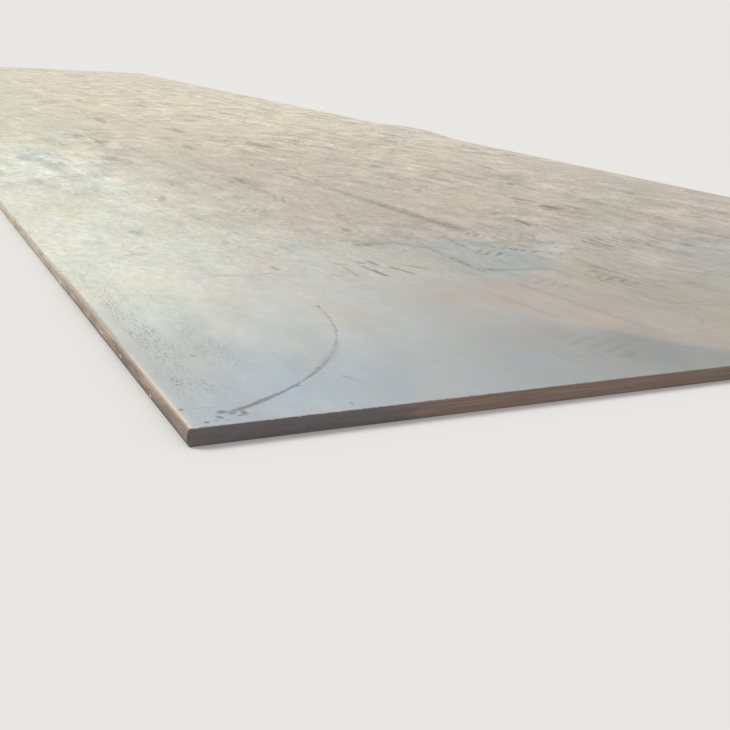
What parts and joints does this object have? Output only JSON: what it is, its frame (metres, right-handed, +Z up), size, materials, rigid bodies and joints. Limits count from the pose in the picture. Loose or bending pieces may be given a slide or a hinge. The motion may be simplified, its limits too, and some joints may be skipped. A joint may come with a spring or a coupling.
{
  "type": "nickel alloy steel plate",
  "caption": "Long flat hot-rolled alloy steel plate with rounded rolled long edges, sheared ends, a low wave in one long edge, mill scale and light rust.",
  "frame": {"origin": "middle of the plate's underside, on the floor that it lies on", "axes": "+X along the length, the rolling direction, from the end that is nearest in the picture to the far end; +Y across the width, towards the sunlit long edge at the left of the picture; +Z up, through the thickness"},
  "size_m": [8, 2, 0.032],
  "materials": {
    "mill_scale": "matte"
  },
  "bodies": {
    "root": {"plate": "mill_scale"}
  },
  "joints": []
}
